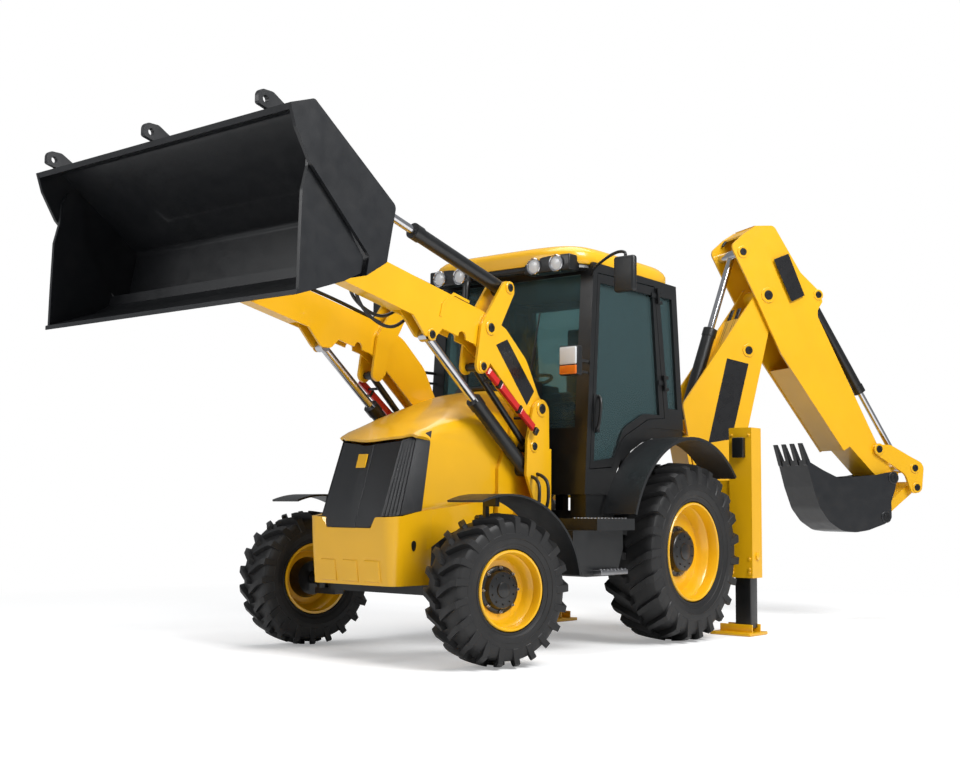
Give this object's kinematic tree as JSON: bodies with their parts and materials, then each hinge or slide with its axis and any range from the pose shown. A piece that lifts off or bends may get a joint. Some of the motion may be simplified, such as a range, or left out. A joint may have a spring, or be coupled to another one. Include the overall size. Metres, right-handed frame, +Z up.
{
  "type": "backhoe loader",
  "caption": "Wheeled backhoe loader with a clam front bucket on levelled arms, a glazed cab, a swinging rear boom with sliding dipper and bucket, and two stabilisers.",
  "frame": {"origin": "on the ground under the middle of the rear axle", "axes": "+X to the machine's left, +Y to the rear, +Z up; the machine faces -Y"},
  "size_m": [2.6157, 7.9518, 3.5659],
  "materials": {
    "yellow_paint": "gloss",
    "black_paint": "satin",
    "dark_steel": "satin",
    "chrome": "polished",
    "grey_moulding": "moulded",
    "tyre": "rubber",
    "glass": "tinted"
  },
  "bodies": {
    "chassis": {"cab_frame": "black_paint", "cab_glass": "glass", "cab_interior": "grey_moulding", "cab_roof": "yellow_paint", "chassis_rails": "black_paint", "engine": "black_paint", "front_axle": "black_paint", "loader_towers": "yellow_paint", "nose": "yellow_paint", "rear_axle": "black_paint", "rear_fenders": "grey_moulding", "rear_frame": "yellow_paint", "side_tanks": "black_paint"},
    "bonnet": {"bonnet": "yellow_paint", "grille": "grey_moulding"},
    "door_left": {"door_left": "black_paint", "door_glass_left": "glass"},
    "door_right": {"door_right": "black_paint", "door_glass_right": "glass"},
    "knuckle_left": {"knuckle_left": "black_paint", "front_fender_left": "grey_moulding"},
    "knuckle_right": {"knuckle_right": "black_paint", "front_fender_right": "grey_moulding"},
    "wheel_front_left": {"wheel_front_left": "yellow_paint", "tyre_front_left": "tyre"},
    "wheel_front_right": {"wheel_front_right": "yellow_paint", "tyre_front_right": "tyre"},
    "wheel_rear_left": {"wheel_rear_left": "yellow_paint", "tyre_rear_left": "tyre"},
    "wheel_rear_right": {"wheel_rear_right": "yellow_paint", "tyre_rear_right": "tyre"},
    "loader_arms": {"loader_arms": "yellow_paint"},
    "levers": {"levelling_levers": "yellow_paint"},
    "links": {"levelling_links": "yellow_paint"},
    "lift_barrels": {"lift_barrels": "black_paint"},
    "lift_rods": {"lift_rods": "chrome"},
    "tilt_trunnions": {"tilt_trunnions": "black_paint"},
    "tilt_barrels": {"tilt_barrels": "black_paint"},
    "tilt_rods": {"tilt_rods": "chrome"},
    "bucket_pins": {"bucket_pins": "black_paint"},
    "shovel": {"shovel_back": "dark_steel"},
    "clam_jaw": {"clam_jaw": "dark_steel"},
    "slew_carriage": {"slew_carriage": "black_paint"},
    "king_post": {"king_post": "black_paint"},
    "boom": {"boom": "yellow_paint"},
    "boom_ram_barrel": {"boom_ram_barrel": "black_paint"},
    "boom_ram_rod": {"boom_ram_rod": "chrome"},
    "dipper_guide": {"dipper_guide": "yellow_paint"},
    "dipper_ram_barrel": {"dipper_ram_barrel": "black_paint"},
    "dipper_ram_rod": {"dipper_ram_rod": "chrome"},
    "dipper_slider": {"dipper_slider": "yellow_paint"},
    "tipping_lever": {"tipping_lever": "yellow_paint"},
    "tipping_link": {"tipping_link": "yellow_paint"},
    "bucket_ram_barrel": {"bucket_ram_barrel": "black_paint"},
    "bucket_ram_rod": {"bucket_ram_rod": "chrome"},
    "hoe_bucket": {"hoe_bucket": "dark_steel"},
    "stabiliser_left": {"stabiliser_left": "black_paint"},
    "stabiliser_right": {"stabiliser_right": "black_paint"}
  },
  "joints": [
    {"name": "loader_lift", "type": "hinge", "parent": "chassis", "child": "loader_arms", "pos_m": [0, -1.291, 1.678], "axis": [-1, 0, 0], "range_deg": [-57, 22]},
    {"name": "levelling_lever", "type": "hinge", "parent": "loader_arms", "child": "levers", "pos_m": [0, -1.862, 2.189], "axis": [-1, 0, 0], "range_deg": [-23, 58]},
    {"name": "levelling_link", "type": "hinge", "parent": "chassis", "child": "links", "pos_m": [0, -1.368, 1.41], "axis": [-1, 0, 0], "range_deg": [-58, 23]},
    {"name": "bucket_level", "type": "hinge", "parent": "loader_arms", "child": "bucket_pins", "pos_m": [0, -3.4, 2.465], "axis": [-1, 0, 0], "range_deg": [-13.54, 33.49]},
    {"name": "lift_ram_swing", "type": "hinge", "parent": "chassis", "child": "lift_barrels", "pos_m": [0, -1.377, 1.25], "axis": [-1, 0, 0], "range_deg": [-54.23, 21.55]},
    {"name": "lift_ram_stroke", "type": "slide", "parent": "lift_barrels", "child": "lift_rods", "axis": [0, -0.7821, 0.6231], "range_m": [-0.4189, 0.1648]},
    {"name": "bucket_tilt", "type": "hinge", "parent": "bucket_pins", "child": "shovel", "pos_m": [0, -3.4, 2.465], "axis": [1, 0, 0], "range_deg": [-45, 30]},
    {"name": "tilt_ram_swing", "type": "hinge", "parent": "levers", "child": "tilt_trunnions", "pos_m": [0, -1.66, 2.489], "axis": [-1, 0, 0], "range_deg": [-47.28, 18.86]},
    {"name": "tilt_ram_nod", "type": "hinge", "parent": "tilt_trunnions", "child": "tilt_barrels", "pos_m": [0, -1.66, 2.489], "axis": [1, 0, 0], "range_deg": [-6.74, 4.83]},
    {"name": "tilt_ram_stroke", "type": "slide", "parent": "tilt_barrels", "child": "tilt_rods", "axis": [0, -0.9617, 0.2739], "range_m": [-0.423, 0.2837]},
    {"name": "clam", "type": "hinge", "parent": "shovel", "child": "clam_jaw", "pos_m": [0, -4.003, 2.893], "axis": [-1, 0, 0], "range_deg": [0, 75]},
    {"name": "bonnet", "type": "hinge", "parent": "chassis", "child": "bonnet", "pos_m": [0, -1.255, 1.852], "axis": [-1, 0, 0], "range_deg": [0, 50]},
    {"name": "door_left", "type": "hinge", "parent": "chassis", "child": "door_left", "pos_m": [0.764, 0.012, 1.952], "axis": [0, -0.1364, 0.9906], "range_deg": [0, 80]},
    {"name": "door_right", "type": "hinge", "parent": "chassis", "child": "door_right", "pos_m": [-0.764, 0.012, 1.952], "axis": [0, 0.1364, -0.9906], "range_deg": [0, 80]},
    {"name": "steering", "type": "hinge", "parent": "chassis", "child": "knuckle_left", "pos_m": [0.69, -2.17, 0.475], "axis": [0, 0, 1], "range_deg": [-20, 45]},
    {"name": "steering_right", "type": "hinge", "parent": "chassis", "child": "knuckle_right", "pos_m": [-0.69, -2.17, 0.475], "axis": [0, 0, 1], "range_deg": [-21, 46]},
    {"name": "wheel_front_left", "type": "hinge", "parent": "knuckle_left", "child": "wheel_front_left", "pos_m": [0.92431, -2.22195, 0.475], "axis": [0.9763, -0.2164, 0], "continuous": true},
    {"name": "wheel_front_right", "type": "hinge", "parent": "knuckle_right", "child": "wheel_front_right", "pos_m": [-0.92431, -2.11805, 0.475], "axis": [0.9763, -0.2164, 0], "continuous": true},
    {"name": "wheel_rear_left", "type": "hinge", "parent": "chassis", "child": "wheel_rear_left", "pos_m": [0.83, 0, 0.669], "axis": [1, 0, 0], "continuous": true},
    {"name": "wheel_rear_right", "type": "hinge", "parent": "chassis", "child": "wheel_rear_right", "pos_m": [-0.83, 0, 0.669], "axis": [1, 0, 0], "continuous": true},
    {"name": "side_shift", "type": "slide", "parent": "chassis", "child": "slew_carriage", "axis": [1, 0, 0], "range_m": [-0.5, 0.5]},
    {"name": "slew", "type": "hinge", "parent": "slew_carriage", "child": "king_post", "pos_m": [0, 1.36, 0.86], "axis": [0, 0, 1], "range_deg": [-60, 120]},
    {"name": "boom", "type": "hinge", "parent": "king_post", "child": "boom", "pos_m": [0.15, 1.61981, 0.95], "axis": [-0.866, 0.5, 0], "range_deg": [-8, 100]},
    {"name": "boom_ram_swing", "type": "hinge", "parent": "king_post", "child": "boom_ram_barrel", "pos_m": [0.225, 1.74971, 0.6], "axis": [-0.866, 0.5, 0], "range_deg": [-8.37, 93.11]},
    {"name": "boom_ram_stroke", "type": "slide", "parent": "boom_ram_barrel", "child": "boom_ram_rod", "axis": [0.066, 0.1142, 0.9913], "range_m": [-0.5659, 0.0499]},
    {"name": "dipper", "type": "hinge", "parent": "boom", "child": "dipper_guide", "pos_m": [0.4385, 2.1195, 2.918], "axis": [0.866, -0.5, 0], "range_deg": [-12, 90]},
    {"name": "dipper_ram_swing", "type": "hinge", "parent": "boom", "child": "dipper_ram_barrel", "pos_m": [0.05, 1.4466, 1.72], "axis": [0.866, -0.5, 0], "range_deg": [-1, 1]},
    {"name": "dipper_ram_stroke", "type": "slide", "parent": "dipper_ram_barrel", "child": "dipper_ram_rod", "axis": [0.1565, 0.271, 0.9498], "range_m": [-0.671, 0.0938]},
    {"name": "dipper_extension", "type": "slide", "parent": "dipper_guide", "child": "dipper_slider", "axis": [0.2236, 0.3873, -0.8944], "range_m": [0, 1.1]},
    {"name": "hoe_bucket", "type": "hinge", "parent": "dipper_slider", "child": "hoe_bucket", "pos_m": [1.0825, 3.23495, 1.295], "axis": [0.866, -0.5, 0], "range_deg": [-10, 110]},
    {"name": "tipping_lever", "type": "hinge", "parent": "dipper_slider", "child": "tipping_lever", "pos_m": [1.02, 3.12669, 1.557], "axis": [0.866, -0.5, 0], "range_deg": [-6.71, 63.87]},
    {"name": "tipping_link", "type": "hinge", "parent": "tipping_lever", "child": "tipping_link", "pos_m": [1.227, 3.48523, 1.21], "axis": [0.866, -0.5, 0], "range_deg": [-3.08, 1.19]},
    {"name": "bucket_ram_swing", "type": "hinge", "parent": "dipper_slider", "child": "bucket_ram_barrel", "pos_m": [0.7125, 2.59409, 2.96], "axis": [0.866, -0.5, 0], "range_deg": [-1.77, 9.43]},
    {"name": "bucket_ram_stroke", "type": "slide", "parent": "bucket_ram_barrel", "child": "bucket_ram_rod", "axis": [0.2705, 0.4685, -0.841], "range_m": [-0.3988, 0.0408]},
    {"name": "stabiliser_left", "type": "slide", "parent": "chassis", "child": "stabiliser_left", "axis": [0, 0, 1], "range_m": [-0.2, 0.34]},
    {"name": "stabiliser_right", "type": "slide", "parent": "chassis", "child": "stabiliser_right", "axis": [0, 0, 1], "range_m": [-0.2, 0.34]}
  ],
  "couplings": [
    {"joint": "levelling_lever", "follows": "loader_lift", "ratio": -1},
    {"joint": "levelling_link", "follows": "loader_lift", "ratio": 1},
    {"joint": "bucket_level", "follows": "loader_lift", "ratio": -0.57},
    {"joint": "lift_ram_swing", "follows": "loader_lift", "ratio": 0.93388},
    {"joint": "lift_ram_stroke", "follows": "loader_lift", "m_per_rad": 0.41609},
    {"joint": "tilt_ram_swing", "follows": "loader_lift", "ratio": 0.812},
    {"joint": "tilt_ram_nod", "follows": "bucket_tilt", "ratio": 0.12757},
    {"joint": "tilt_ram_stroke", "follows": "bucket_tilt", "m_per_rad": 0.53223},
    {"joint": "steering_right", "follows": "steering", "ratio": 1},
    {"joint": "boom_ram_swing", "follows": "boom", "ratio": 0.92112},
    {"joint": "boom_ram_stroke", "follows": "boom", "m_per_rad": -0.32138},
    {"joint": "dipper_ram_swing", "follows": "dipper", "ratio": 0.00003},
    {"joint": "dipper_ram_stroke", "follows": "dipper", "m_per_rad": -0.42401},
    {"joint": "tipping_lever", "follows": "hoe_bucket", "ratio": 0.5715},
    {"joint": "tipping_link", "follows": "hoe_bucket", "ratio": -0.01892},
    {"joint": "bucket_ram_swing", "follows": "hoe_bucket", "ratio": 0.07662},
    {"joint": "bucket_ram_stroke", "follows": "hoe_bucket", "m_per_rad": -0.20511}
  ]
}
